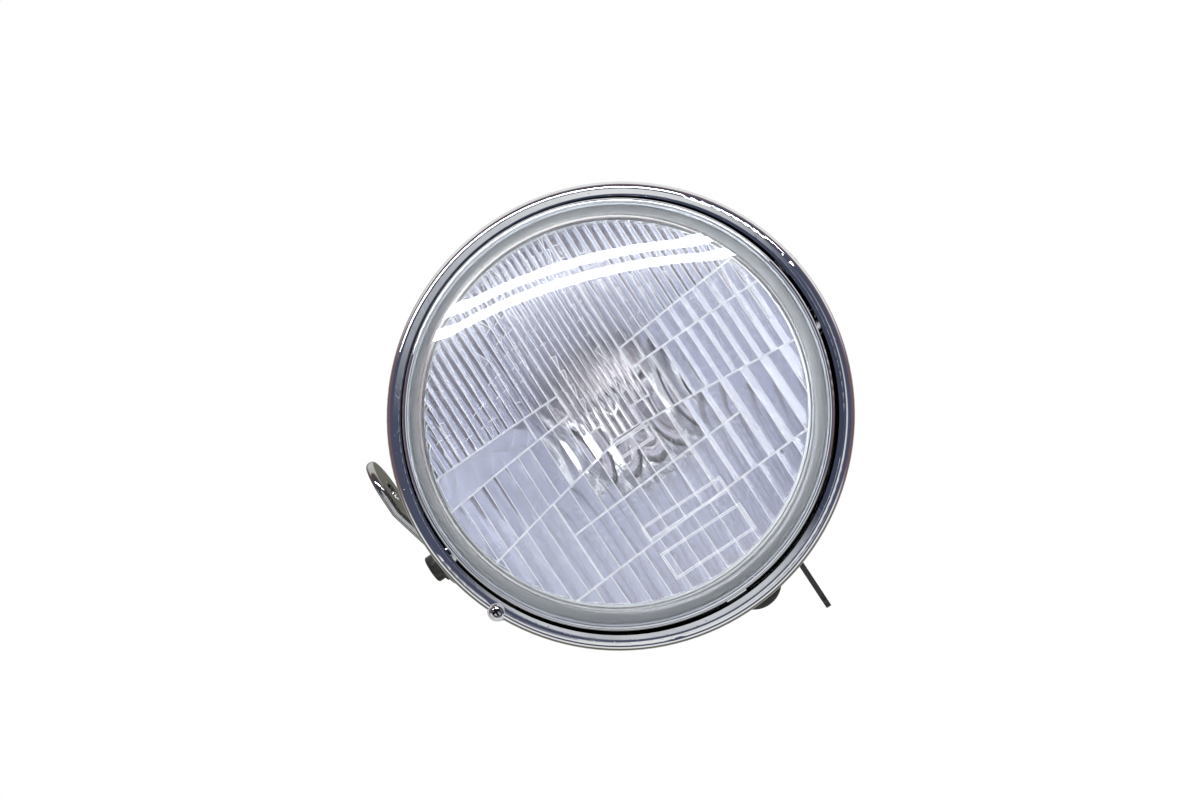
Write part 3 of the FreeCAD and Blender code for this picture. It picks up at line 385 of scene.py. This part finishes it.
skinLooks = {
    "blackRubber": {"color": (0.018, 0.018, 0.019, 1), "dustColor": (0.045, 0.043, 0.041, 1),
                    "speckColor": (0.12, 0.11, 0.10, 1),
                    "grainScale": 1600.0, "rough": (0.45, 0.75), "speckScale": 700.0, "speckShare": 0.05,
                    "grain": 0.25, "specular": 0.4},
    "blackPaint": {"color": (0.012, 0.012, 0.013, 1), "dustColor": (0.030, 0.029, 0.028, 1),
                   "speckColor": (0.16, 0.14, 0.12, 1),
                   "grainScale": 900.0, "rough": (0.24, 0.42), "speckScale": 500.0, "speckShare": 0.04,
                   "grain": 0.12},
    "darkSteel": {"color": (0.055, 0.052, 0.048, 1), "dustColor": (0.11, 0.10, 0.085, 1),
                  "speckColor": (0.16, 0.12, 0.08, 1),
                  "grainScale": 1100.0, "rough": (0.28, 0.5), "speckScale": 600.0, "speckShare": 0.12,
                  "grain": 0.2, "metallic": 0.8},
    "whiteNylon": {"color": (0.62, 0.60, 0.54, 1), "dustColor": (0.50, 0.47, 0.41, 1),
                   "speckColor": (0.30, 0.27, 0.22, 1),
                   "grainScale": 1500.0, "rough": (0.4, 0.55), "speckScale": 900.0, "speckShare": 0.05,
                   "grain": 0.1},
    "sealant": {"color": (0.86, 0.89, 0.90, 1), "dustColor": (0.78, 0.81, 0.82, 1),
                "speckColor": (0.45, 0.45, 0.45, 1),
                "grainScale": 800.0, "rough": (0.5, 0.7), "speckScale": 600.0, "speckShare": 0.05,
                "grain": 0.3},
}
screwLow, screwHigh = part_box("adjuster_screw")
crossDepth = 0.0015
crossSpot = ((screwLow[0] + screwHigh[0]) / 2, screwLow[1] + crossDepth, (screwLow[2] + screwHigh[2]) / 2)
metalLooks["crossScrew"] = dict(metalLooks["platedScrews"], paintedShade={  # shadow in the cross of the screw head
    "group": offAxis,
    "place": {"Centre": crossSpot, "Weights": (0.55, 1.0, 0.55), "Start": 0.0013, "End": 0.0011},
    "color": (0.02, 0.02, 0.02, 1), "rough": 0.6})
finishes = {name: brightMetal(name, look) for name, look in metalLooks.items()}
finishes.update({name: darkSkin(name, look) for name, look in skinLooks.items()})

domeRadius = 0.245
lensLook = {"tint": (0.985, 0.993, 1.0, 1), "hazeTint": (0.95, 0.965, 0.985, 1), "ior": 1.5,
            "wipeScale": 26.0, "rough": (0.0, 0.012), "frost": 0.08, "inside": (0.2435, 0.2425),
            "border": (0.0765, 0.0785), "borderFrost": 0.3, "borderAlpha": 0.35,
            "bubbleScale": 140.0, "bubbleSize": 0.07, "bubbleShare": 0.16, "bump": 0.4, "bubbleDepth": 0.0004,
            "coat": 0.6, "coatRough": 0.2}


def makeLensGlass(look):
    mat, tree, bsdf = startMaterial("lensGlass")
    link = tree.links.new
    wipe = useGroup(tree, smudges, -500, 150, Scale=look["wipeScale"], Low=look["rough"][0],
                    High=look["rough"][1])
    bubbles = useGroup(tree, specks, -500, -150, Scale=look["bubbleScale"], Size=look["bubbleSize"],
                       Share=look["bubbleShare"])
    tone = mixColors(tree, -100, 200, look["tint"], look["hazeTint"])
    link(wipe.outputs["Mask"], tone.inputs[0])
    link(tone.outputs[2], bsdf.inputs["Base Color"])
    border = useGroup(tree, offAxis, -500, -350, Start=look["border"][0], End=look["border"][1])
    heart = (0.0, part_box("lens")[0][1] + domeRadius, 0.0)
    inside = useGroup(tree, offAxis, -500, -600, Centre=heart, Weights=(1.0, 1.0, 1.0),
                      Start=look["inside"][0], End=look["inside"][1])
    frost = addNode(tree, "ShaderNodeMix", 0, 50)
    link(wipe.outputs["Roughness"], frost.inputs["A"])
    frost.inputs["B"].default_value = look["frost"]
    link(inside.outputs["Mask"], frost.inputs["Factor"])
    edge = addNode(tree, "ShaderNodeMix", 250, 50)
    link(frost.outputs["Result"], edge.inputs["A"])
    edge.inputs["B"].default_value = look["borderFrost"]
    link(border.outputs["Mask"], edge.inputs["Factor"])
    link(edge.outputs["Result"], bsdf.inputs["Roughness"])
    # the clear border hardly bends what lies behind
    veil = remap(tree, 250, 300, 0.0, 1.0, 1.0, look["borderAlpha"])
    link(border.outputs["Mask"], veil.inputs["Value"])
    link(veil.outputs["Result"], bsdf.inputs["Alpha"])
    bump = setInputs(addNode(tree, "ShaderNodeBump", 300, -250), Strength=look["bump"],
                     Distance=look["bubbleDepth"])
    link(bubbles.outputs["Height"], bump.inputs["Height"])
    link(bump.outputs["Normal"], bsdf.inputs["Normal"])
    setInputs(bsdf, IOR=look["ior"], Transmission_Weight=1.0, Coat_Weight=look["coat"],
              Coat_Roughness=look["coatRough"])
    return mat


bulbLook = {"tint": (0.95, 0.95, 0.96, 1), "tipColor": (0.55, 0.52, 0.54, 1), "ior": 1.47,
            "tipStart": -0.1010, "tipEnd": -0.1030, "clear": 0.15, "wipeScale": 90.0, "rough": (0.0, 0.06)}


def makeBulbGlass(look):
    mat, tree, bsdf = startMaterial("bulbGlass")
    link = tree.links.new
    coord = addNode(tree, "ShaderNodeTexCoord", -900, 200)
    along = addNode(tree, "ShaderNodeSeparateXYZ", -700, 200)
    link(coord.outputs["Object"], along.inputs["Vector"])
    dip = remap(tree, -450, 200, look["tipEnd"], look["tipStart"], 1.0, 0.0)  # painted tip
    link(along.outputs["Y"], dip.inputs["Value"])
    tone = mixColors(tree, -100, 200, look["tint"], look["tipColor"])
    link(dip.outputs["Result"], tone.inputs[0])
    link(tone.outputs[2], bsdf.inputs["Base Color"])
    veil = remap(tree, -100, 0, 0.0, 1.0, look["clear"], 1.0)  # the thin wall hardly shows
    link(dip.outputs["Result"], veil.inputs["Value"])
    link(veil.outputs["Result"], bsdf.inputs["Alpha"])
    wipe = useGroup(tree, smudges, -450, -150, Scale=look["wipeScale"], Low=look["rough"][0],
                    High=look["rough"][1])
    link(wipe.outputs["Roughness"], bsdf.inputs["Roughness"])
    setInputs(bsdf, IOR=look["ior"], Transmission_Weight=1.0)
    return mat


# the seams are frosted glass lit by the lamps, with a painted glow on top
seamFinish = {"color": (0.97, 0.98, 1.0, 1), "hazeColor": (0.90, 0.92, 0.96, 1), "rough": (0.25, 0.5),
              "through": 0.2, "glow": 0.16, "wipeScale": 120.0}


def makeFrostedSeamPaintedGlow(look):
    mat, tree, bsdf = startMaterial("frostedSeamPaintedGlow")
    link = tree.links.new
    wipe = useGroup(tree, smudges, -500, 150, Scale=look["wipeScale"], Low=look["rough"][0],
                    High=look["rough"][1])
    tone = mixColors(tree, -100, 200, look["color"], look["hazeColor"])
    link(wipe.outputs["Mask"], tone.inputs[0])
    link(tone.outputs[2], bsdf.inputs["Base Color"])
    link(wipe.outputs["Roughness"], bsdf.inputs["Roughness"])
    link(tone.outputs[2], bsdf.inputs["Emission Color"])  # painted glow standing for the lamps' glints in the grooves
    setInputs(bsdf, Transmission_Weight=look["through"], Emission_Strength=look["glow"])
    return mat


finishes["frostedSeamPaintedGlow"] = makeFrostedSeamPaintedGlow(seamFinish)
finishes["lensGlass"] = makeLensGlass(lensLook)
finishes["bulbGlass"] = makeBulbGlass(bulbLook)
print("finishes made:", len(finishes))

nodeFinish = {
    "shell": "chromeShell", "rim": "chromeRim", "unit_ring": "chromeRing", "side_lug": "shadedChromeLug",
    "rim_screws": "platedScrews", "adjuster_screw": "crossScrew", "rim_nuts": "zincSteel",
    # the black paint on the pivot brackets is chosen so that they look as dark as the gap behind the rim:
    # partly painted shade
    "pivot_brackets": "blackPaint", "pivot_pins": "zincSteel", "tab_rivets": "zincSteel",
    "adjuster_spring": "springSteel", "bulb_clip": "springSteel", "adjuster_nut": "whiteNylon",
    "lug_bolt": "darkSteel", "aim_tab": "blackPaint", "drain_plug": "blackRubber",
    "wire_grommet": "blackRubber", "dust_boot": "blackRubber", "lens": "lensGlass", "lens_seal": "sealant",
    "reflector": "mirrorCoat", "bulb_base": "platedBase", "bulb_glass": "bulbGlass",
    "bulb_shield": "platedBase", "bulb_filaments": "filamentWire", "bulb_terminals": "brassBlades",
}
for nodeName, finishName in nodeFinish.items():
    for holder in cad[nodeName].material_slots:
        holder.material = finishes[finishName]
print("finishes put on the nodes")


# pieces that the solids leave to the scene

def wireCurve(name, lines, look):
    data = bpy.data.curves.new(name, "CURVE")
    data.dimensions = "3D"
    data.bevel_depth = look["wire"]
    data.bevel_resolution = look["rounds"]
    data.use_fill_caps = True
    for line, closed in lines:
        spline = data.splines.new("POLY")
        spline.points.add(len(line) - 1)
        spline.use_cyclic_u = closed
        for point, (place, thickness) in zip(spline.points, line):
            point.co = (*place, 1.0)
            point.radius = thickness
    data.materials.append(finishes[look["finish"]])
    return data


def wirePiece(name, lines, look, body):
    piece = bpy.data.objects.new(name, wireCurve(name, lines, look))
    bpy.context.scene.collection.objects.link(piece)
    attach(piece, body)
    return piece


def helix(centre, axis, radius, start, end, turns, sides, thickness=1.0):
    points = []
    for k in range(turns * sides + 1):
        turn = 2 * math.pi * k / sides
        place = Vector(centre)
        place[axis] = start + (end - start) * k / (turns * sides)
        place[axis - 1] += radius * math.cos(turn)
        place[axis - 2] += radius * math.sin(turn)
        points.append((place, thickness))
    return points


def middle(node):
    low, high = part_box(node)
    return (Vector(low) + Vector(high)) / 2


weldGap = 1e-6
seamLook = {"wire": 0.00016, "rounds": 1, "finish": "frostedSeamPaintedGlow", "slot": "lens_glass",
            "glass": 0.004, "reach": 0.0749, "depth": (-0.0001, 0.0006), "grooveAngle": math.radians(-12),
            "ridge": 0.0003, "ridgeAngle": math.radians(30), "sink": 0.0002}


def makeFluteSeams(look):  # frosted lines with a painted glow, in the grooves of the lens and just under its raised ridges
    lens = bmesh.new()
    lens.from_mesh(cad["lens"].data)
    bmesh.ops.remove_doubles(lens, verts=lens.verts, dist=weldGap)
    inside = domeRadius - look["glass"]
    heart = Vector((0.0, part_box("lens")[0][1] + domeRadius, 0.0))
    lines = []
    for edge in lens.edges:
        spot = (edge.verts[0].co + edge.verts[1].co) / 2
        far = (spot - heart).length
        depth = inside - far
        if math.hypot(spot.x, spot.z) > look["reach"] or not edge.is_manifold:
            continue
        bend = edge.calc_face_angle_signed()
        if look["depth"][0] < depth < look["depth"][1] and bend < look["grooveAngle"]:
            lines.append(([(vert.co.copy(), 1.0) for vert in edge.verts], False))
        elif far > domeRadius + look["ridge"] and bend > look["ridgeAngle"]:
            sunk = [vert.co + (heart - vert.co).normalized() * look["sink"] for vert in edge.verts]
            lines.append(([(place, 1.0) for place in sunk], False))
    lens.free()
    print("flute seams:", len(lines), "runs")
    return wirePiece("fluteSeams", lines, look, "beam_unit")


beadLook = {"profile": [(0.0752, -0.1499), (0.0777, -0.1442), (0.0781, -0.1290)],
            "wall": 0.0004, "sides": 144, "finish": "sealant", "slot": "sealant"}
lipLook = {"profile": [(0.0745, -0.1492), (0.0770, -0.1440), (0.0774, -0.1290)],
           "wall": 0.0003, "sides": 144, "finish": "mirrorCoat", "slot": "mirror_coat"}
collarLook = {"profile": [(0.0110, -0.0681), (0.0132, -0.0690), (0.0160, -0.0686), (0.0192, -0.0672)],
              "wall": 0.0004, "sides": 96, "finish": "platedBase", "slot": "plated_base"}


def turnedSheet(name, look, body):  # thin sheet turned round the lamp axis
    profile = list(look["profile"])
    profile += [(r - look["wall"] / 2, y + look["wall"]) for r, y in reversed(profile)]
    sheet = bmesh.new()
    rings = []
    for r, y in profile:
        turns = [2 * math.pi * k / look["sides"] for k in range(look["sides"])]
        rings.append([sheet.verts.new((r * math.cos(a), y, r * math.sin(a))) for a in turns])
    for k, ring in enumerate(rings):
        ahead = rings[(k + 1) % len(rings)]
        for i in range(look["sides"]):
            j = (i + 1) % look["sides"]
            sheet.faces.new((ring[i], ring[j], ahead[j], ahead[i])).smooth = True
    bmesh.ops.recalc_face_normals(sheet, faces=sheet.faces)
    mesh = bpy.data.meshes.new(name)
    sheet.to_mesh(mesh)
    sheet.free()
    mesh.materials.append(finishes[look["finish"]])
    piece = bpy.data.objects.new(name, mesh)
    bpy.context.scene.collection.objects.link(piece)
    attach(piece, body)
    return piece


hemLook = {"wire": 0.00045, "rounds": 3, "finish": "chromeRim", "slot": "chrome_rim", "sides": 160}


def makeRimHem(look):  # rolled edge at the back of the rim
    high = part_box("rim")[1]
    radius = high[2] - look["wire"]
    y = high[1] - look["wire"]
    turns = [2 * math.pi * k / look["sides"] for k in range(look["sides"])]
    ring = [(Vector((radius * math.cos(a), y, radius * math.sin(a))), 1.0) for a in turns]
    return wirePiece("rimHem", [(ring, True)], look, "housing")


threadLook = {"wire": 0.00014, "rounds": 1, "finish": "platedScrews", "slot": "plated_screws",
              "pitch": 0.0008, "sides": 18, "radius": 0.00142, "headLength": 0.0034}


def makeAdjusterThread(look):
    low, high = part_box("adjuster_screw")
    start, end = high[1] - look["pitch"], low[1] + look["headLength"]
    turns = int((start - end) / look["pitch"])
    coil = helix(middle("adjuster_screw"), 1, look["radius"], start, end, turns, look["sides"])
    return wirePiece("adjusterThread", [(coil, False)], look, "adjuster")


springLook = {"wire": 0.0003, "rounds": 2, "finish": "springSteel", "slot": "spring_steel",
              "turns": 5, "sides": 24}


def makeSpring(look):  # coiled wire that takes the place of the adjuster spring node
    low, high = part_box("adjuster_spring")
    centre = middle("adjuster_spring")
    radius = (high[0] - low[0]) / 2 - look["wire"]
    back, front = high[1] - look["wire"], low[1] + look["wire"]
    coil = helix(centre, 1, radius, back, front, look["turns"], look["sides"])
    holder = bpy.data.objects.new("springWire", wireCurve("springWire", [(coil, False)], look))
    piece = bpy.data.objects.new("adjusterSpring", bpy.data.meshes.new_from_object(holder))
    bpy.data.objects.remove(holder)
    bpy.context.scene.collection.objects.link(piece)
    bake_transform(piece)
    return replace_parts(piece, "adjuster_spring")


bossLook = {"wire": 0.00025, "rounds": 1, "finish": "zincSteel", "slot": "chrome_shell",
            "pitch": 0.00125, "sides": 24, "radius": 0.0034, "depth": 0.0065, "inset": 0.0008}


def makeBossThread(look):  # thread in the free boss on the right
    centre = middle("lug_bolt")
    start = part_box("shell")[1][0] - look["inset"]
    turns = int(look["depth"] / look["pitch"])
    coil = helix(centre, 0, look["radius"], start, start - look["depth"], turns, look["sides"])
    return wirePiece("bossThread", [(coil, False)], look, "housing")


coilLook = {"wire": 0.00035, "rounds": 2, "finish": "filamentWire", "slot": "filament_wire",
            "length": 0.0055, "step": 0.0115, "lift": 0.0008,
            "radius": 0.0007, "fine": 0.3, "turns": 9, "sides": 12}


def makeFilaments(look):  # wound filaments on their posts
    low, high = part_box("bulb_filaments")
    reach = high[0] - look["wire"]
    foot = high[1]
    front = low[1] + look["length"] / 2
    lines = []
    for y, z in ((front, look["lift"]), (front + look["step"], 0.0)):
        near, far = y + look["length"] / 2, y - look["length"] / 2
        coil = helix((0.0, y, z), 1, look["radius"], near, far, look["turns"], look["sides"], look["fine"])
        line = [(Vector((-reach, foot, z)), 1.0), (Vector((-reach, near, z)), 1.0),
                (Vector((-look["radius"], near, z)), look["fine"])]
        line += coil
        line += [(Vector((look["radius"], far, z)), look["fine"]), (Vector((reach, far, z)), 1.0),
                 (Vector((reach, foot, z)), 1.0)]
        lines.append((line, False))
    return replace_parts(wirePiece("filamentCoils", lines, look, "beam_unit"), "bulb_filaments")


makeFluteSeams(seamLook)
turnedSheet("borderBead", beadLook, "beam_unit")  # pale bead that shows through the border of the lens
turnedSheet("mirrorLip", lipLook, "beam_unit")  # bright lip of the reflector inside the bead
turnedSheet("bulbCollar", collarLook, "beam_unit")  # pressed collar round the bulb in the reflector neck
makeRimHem(hemLook)
makeAdjusterThread(threadLook)
makeSpring(springLook)
makeBossThread(bossLook)
makeFilaments(coilLook)
print("scene pieces made")

bevelLook = {"segments": 3, "angle": math.radians(40)}
softEdges = {"side_lug": 0.0016, "aim_tab": 0.0005, "lug_bolt": 0.0006, "tab_rivets": 0.0005,
             "rim_screws": 0.0004}


def softenEdges(node, width):  # pressed and cast edges are never sharp
    weld = cad[node].modifiers.new("weld", "WELD")
    weld.merge_threshold = weldGap
    bevel = cad[node].modifiers.new("softEdges", "BEVEL")
    bevel.width = width
    bevel.segments = bevelLook["segments"]
    bevel.limit_method = "ANGLE"
    bevel.angle_limit = bevelLook["angle"]
    bevel.harden_normals = True


for nodeName, width in softEdges.items():
    softenEdges(nodeName, width)
print("edges softened")


# studio: pale floor, a room to mirror, two strip lamps overhead and one lamp at the side

white = (1, 1, 1, 1)
floorLook = {"z": -0.36, "x": (-2.5, 2.5), "y": (-0.55, 3.5), "color": (0.87, 0.87, 0.87, 1),
             "mottle": (0.85, 0.85, 0.85, 1), "lift": 0.35, "grainScale": 400.0, "rough": (0.8, 0.95)}


def makeFloor(look):
    x0, x1 = look["x"]
    y0, y1 = look["y"]
    corners = [(x, y, look["z"]) for x, y in ((x0, y0), (x1, y0), (x1, y1), (x0, y1))]
    mesh = bpy.data.meshes.new("paleFloor")
    mesh.from_pydata(corners, [], [(0, 1, 2, 3)])
    floor = bpy.data.objects.new("paleFloor", mesh)
    bpy.context.scene.collection.objects.link(floor)
    mat, tree, bsdf = startMaterial("paleFloor")
    link = tree.links.new
    paper = useGroup(tree, fineGrain, -500, 100, Scale=look["grainScale"], Low=look["rough"][0],
                     High=look["rough"][1])
    link(paper.outputs["Roughness"], bsdf.inputs["Roughness"])
    tone = mixColors(tree, -200, 250, look["color"], look["mottle"])
    link(paper.outputs["Mask"], tone.inputs[0])
    link(tone.outputs[2], bsdf.inputs["Base Color"])
    path = addNode(tree, "ShaderNodeLightPath", -500, -200)
    direct = addNode(tree, "ShaderNodeMath", -250, -150, operation="MAXIMUM")
    seen = addNode(tree, "ShaderNodeMath", -50, -200, operation="MAXIMUM")
    link(path.outputs["Is Camera Ray"], direct.inputs[0])
    link(path.outputs["Is Transmission Ray"], direct.inputs[1])
    link(direct.outputs[0], seen.inputs[0])
    link(path.outputs["Is Glossy Ray"], seen.inputs[1])
    lift = addNode(tree, "ShaderNodeMath", 150, -200, operation="MULTIPLY")
    lift.inputs[1].default_value = look["lift"]
    link(seen.outputs[0], lift.inputs[0])
    bsdf.inputs["Emission Color"].default_value = white
    link(lift.outputs[0], bsdf.inputs["Emission Strength"])
    mesh.materials.append(mat)
    floor.visible_glossy = False  # bright metal mirrors the room instead


roomLook = {"cameraSide": (0.038, -0.993, -0.113), "pictureUp": (0.549, -0.074, 0.833),
            "softLight": (0.86, 0.88, 0.92, 1), "glassRoom": (0.54, 0.56, 0.71, 1), "glassFade": (0.88, 0.60),
            "front": (0.085, 0.095, 0.150, 1), "back": (0.200, 0.130, 0.140, 1), "wallFade": (0.55, 0.25),
            "far": (0.40, 0.40, 0.38, 1), "farFade": (-0.45, -0.80),
            "under": (0.15, 0.15, 0.12, 1), "underFade": (0.05, -0.20),
            "core": (0.9, 0.92, 0.95, 1), "coreFade": (0.93, 0.985),
            "ceilingUp": (0.25, 0.55), "ceilingFade": (0.12, -0.12),
            "tableDown": (-0.15, -0.40), "tableNear": (0.70, 0.80), "tableFar": (0.44, 0.34),
            "tableEnd": (-0.10, 0.02)}


def makeWorld(look):
    world = bpy.data.worlds.new("studioWorld")
    bpy.context.scene.world = world
    world.use_nodes = True
    tree = world.node_tree
    tree.nodes.clear()
    link = tree.links.new
    coord = addNode(tree, "ShaderNodeTexCoord", -1200, 0)

    def part(direction, y):
        node = addNode(tree, "ShaderNodeVectorMath", -1000, y, operation="DOT_PRODUCT")
        node.inputs[1].default_value = direction
        link(coord.outputs["Generated"], node.inputs[0])
        return node.outputs["Value"]

    def ramp(value, y, fade):
        node = remap(tree, -750, y, *fade, 0.0, 1.0)
        link(value, node.inputs["Value"])
        return node.outputs["Result"]

    def combine(first, second, y, operation="MULTIPLY"):
        node = addNode(tree, "ShaderNodeMath", -500, y, operation=operation)
        link(first, node.inputs[0])
        link(second, node.inputs[1])
        return node.outputs[0]

    def blendOver(x, below, share, color):
        node = mixColors(tree, x, 100, None, color)
        link(below, node.inputs[6])
        link(share, node.inputs[0])
        return node.outputs[2]

    ahead = part(look["cameraSide"], 200)
    up = part(look["pictureUp"], -100)
    walls = mixColors(tree, -400, 0, look["front"], look["back"])
    link(ramp(ahead, 200, look["wallFade"]), walls.inputs[0])
    behind = ramp(ahead, 300, look["farFade"])
    ceiling = combine(ramp(up, 0, look["ceilingUp"]), ramp(ahead, 50, look["ceilingFade"]), 0)
    below = ramp(up, -100, look["tableDown"])
    farTable = combine(ramp(ahead, -200, look["tableFar"]), ramp(ahead, -250, look["tableEnd"]), -200)
    table = combine(below, combine(ramp(ahead, -150, look["tableNear"]), farTable, -150, "ADD"), -100)
    under = combine(below, ramp(ahead, -300, look["underFade"]), -300)
    room = blendOver(-300, walls.outputs[2], under, look["under"])
    room = blendOver(-250, room, behind, look["far"])
    room = blendOver(-200, room, ceiling, white)
    room = blendOver(-100, room, table, white)
    room = blendOver(0, room, ramp(ahead, 400, look["coreFade"]), look["core"])
    path = addNode(tree, "ShaderNodeLightPath", -200, 500)
    soft = mixColors(tree, 100, 300, look["softLight"], None)
    link(path.outputs["Is Glossy Ray"], soft.inputs[0])
    link(room, soft.inputs[7])
    pale = mixColors(tree, 0, 650, look["glassRoom"], white)  # a paler room for what the glass lets through
    link(ramp(ahead, 500, look["glassFade"]), pale.inputs[0])
    through = mixColors(tree, 200, 300, None, None)
    link(soft.outputs[2], through.inputs[6])
    link(pale.outputs[2], through.inputs[7])
    link(path.outputs["Is Transmission Ray"], through.inputs[0])
    room = blendOver(350, through.outputs[2], path.outputs["Is Camera Ray"], white)  # plain backdrop
    glow = addNode(tree, "ShaderNodeBackground", 500, 0)
    link(room, glow.inputs["Color"])
    out = addNode(tree, "ShaderNodeOutputWorld", 700, 0)
    link(glow.outputs["Background"], out.inputs["Surface"])


lampLook = {"color": (0.96, 0.98, 1.0), "stripSize": (2.2, 0.052), "stripPower": 9.5,
            "strips": [((0.210, -1.220, 0.870), (0.153, -0.788, 0.596)),
                       ((0.199, -1.273, 0.795), (0.128, -0.820, 0.558))],
            "stripRun": (0.953, -0.048, -0.300),
            "sidePlace": (1.026, -0.756, -0.030), "sideBack": (0.855, -0.513, -0.025),
            "sideRun": (0.0, 0.0, 1.0), "sideSize": (0.8, 0.8), "sidePower": 14.0}


def areaLamp(name, place, back, run, size, power, color):
    back = Vector(back).normalized()
    across = back.cross(Vector(run)).normalized()
    along = across.cross(back).normalized()
    lamp = bpy.data.lights.new(name, "AREA")
    lamp.shape = "RECTANGLE"
    lamp.size, lamp.size_y = size
    lamp.energy = power
    lamp.color = color
    obj = bpy.data.objects.new(name, lamp)
    turn = Matrix((along, across, back)).transposed().to_4x4()
    turn.translation = Vector(place)
    obj.matrix_world = turn
    bpy.context.scene.collection.objects.link(obj)
    return obj


def makeLamps(look):
    for place, back in look["strips"]:
        areaLamp("stripLamp", place, back, look["stripRun"], look["stripSize"], look["stripPower"],
                 look["color"])
    side = areaLamp("sideLamp", look["sidePlace"], look["sideBack"], look["sideRun"], look["sideSize"],
                    look["sidePower"], look["color"])
    side.visible_glossy = False  # shows through the glass only
    side.visible_diffuse = False


makeFloor(floorLook)
makeWorld(roomLook)
makeLamps(lampLook)
print("studio set")

photoView = {"target": (0.0, -0.140, 0.0), "distance": 0.80, "side": 2.2, "rise": -6.5,
             "up": (0.545, 0.0, 0.839), "lens": 60.4, "sensor": 36.0,
             "photoSize": (1200, 800), "centre": (617.5, 413.6)}


def makeCamera(look):
    side, rise = math.radians(look["side"]), math.radians(look["rise"])
    toward = Vector((math.sin(side) * math.cos(rise), -math.cos(side) * math.cos(rise), math.sin(rise)))
    right = (-toward).cross(Vector(look["up"])).normalized()
    up = right.cross(-toward).normalized()
    data = bpy.data.cameras.new("photoCamera")
    data.lens = look["lens"]
    data.sensor_width = look["sensor"]
    wide, tall = look["photoSize"]
    data.shift_x = -(look["centre"][0] - wide / 2) / wide
    data.shift_y = (look["centre"][1] - tall / 2) / wide
    camera = bpy.data.objects.new("photoCamera", data)
    place = Matrix((right, up, toward)).transposed().to_4x4()
    place.translation = Vector(look["target"]) + toward * look["distance"]
    camera.matrix_world = place
    bpy.context.scene.collection.objects.link(camera)
    bpy.context.scene.camera = camera


makeCamera(photoView)
bpy.context.scene.view_settings.view_transform = "Standard"
print("camera set")

print("done")
